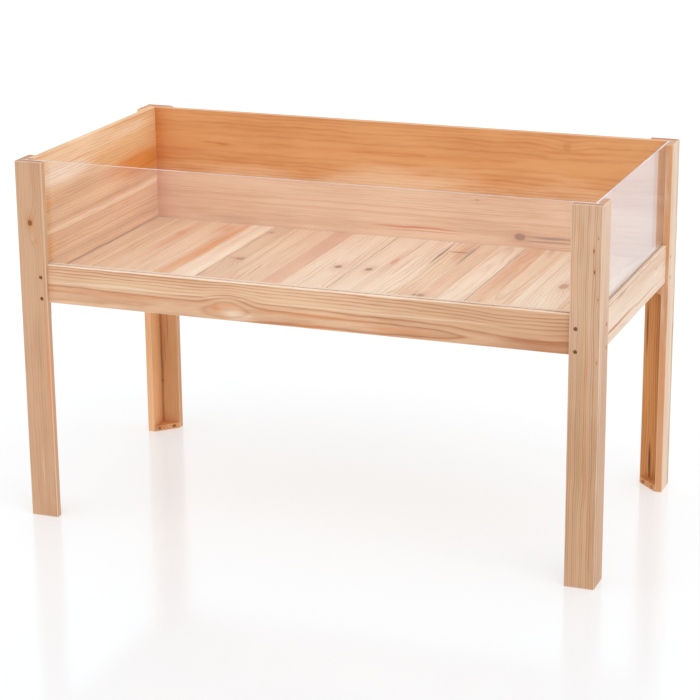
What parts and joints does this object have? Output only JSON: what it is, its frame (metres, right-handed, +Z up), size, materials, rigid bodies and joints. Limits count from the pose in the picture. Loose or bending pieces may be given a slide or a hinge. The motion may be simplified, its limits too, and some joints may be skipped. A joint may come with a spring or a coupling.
{
  "type": "raised planter on legs",
  "caption": "Raised rectangular wooden planter on L-shaped legs, with two solid walls and two low rails that hold clear lift-out panels.",
  "frame": {"origin": "on the ground at the middle of the planter's length and width, at the bottom centre of its bounding box", "axes": "+X along the length, towards the short side with the clear panel; -Y is the front, the long side with the clear panel; +Z is up"},
  "size_m": [1.22, 0.628, 0.762],
  "materials": {
    "leg_wood": "planed pale softwood, bare",
    "block_wood": "sawn pale softwood, bare",
    "rail_wood": "planed pale softwood, bare",
    "wall_wood": "planed orange-brown softwood, bare",
    "floor_wood": "planed pale softwood with knots, bare",
    "batten_wood": "sawn pale softwood, bare",
    "clear_acrylic": "clear, polished",
    "screw_steel": "bronzed"
  },
  "bodies": {
    "frame": {"batten_screws": "screw_steel", "block_screws": "screw_steel", "floor_beam": "batten_wood", "floor_board_1": "floor_wood", "floor_board_2": "floor_wood", "floor_board_3": "floor_wood", "floor_board_4": "floor_wood", "front_floor_batten": "batten_wood", "front_left_foot_block": "block_wood", "front_left_leg_face_board": "leg_wood", "front_left_leg_side_board": "leg_wood", "front_left_shelf_block": "block_wood", "front_rail": "rail_wood", "front_right_foot_block": "block_wood", "front_right_leg_face_board": "leg_wood", "front_right_leg_side_board": "leg_wood", "front_right_shelf_block": "block_wood", "left_floor_batten": "batten_wood", "left_wall": "wall_wood", "leg_screws": "screw_steel", "rear_floor_batten": "batten_wood", "rear_left_foot_block": "block_wood", "rear_left_leg_face_board": "leg_wood", "rear_left_leg_side_board": "leg_wood", "rear_left_shelf_block": "block_wood", "rear_right_foot_block": "block_wood", "rear_right_leg_face_board": "leg_wood", "rear_right_leg_side_board": "leg_wood", "rear_right_shelf_block": "block_wood", "rear_wall": "wall_wood", "right_floor_batten": "batten_wood", "right_rail": "rail_wood"},
    "front_panel": {"front_clear_panel": "clear_acrylic"},
    "side_panel": {"side_clear_panel": "clear_acrylic"}
  },
  "joints": [
    {"name": "front_panel_lift", "type": "slide", "parent": "frame", "child": "front_panel", "axis": [0, 0, 1], "range_m": [0, 0.225]},
    {"name": "side_panel_lift", "type": "slide", "parent": "frame", "child": "side_panel", "axis": [0, 0, 1], "range_m": [0, 0.225]}
  ]
}
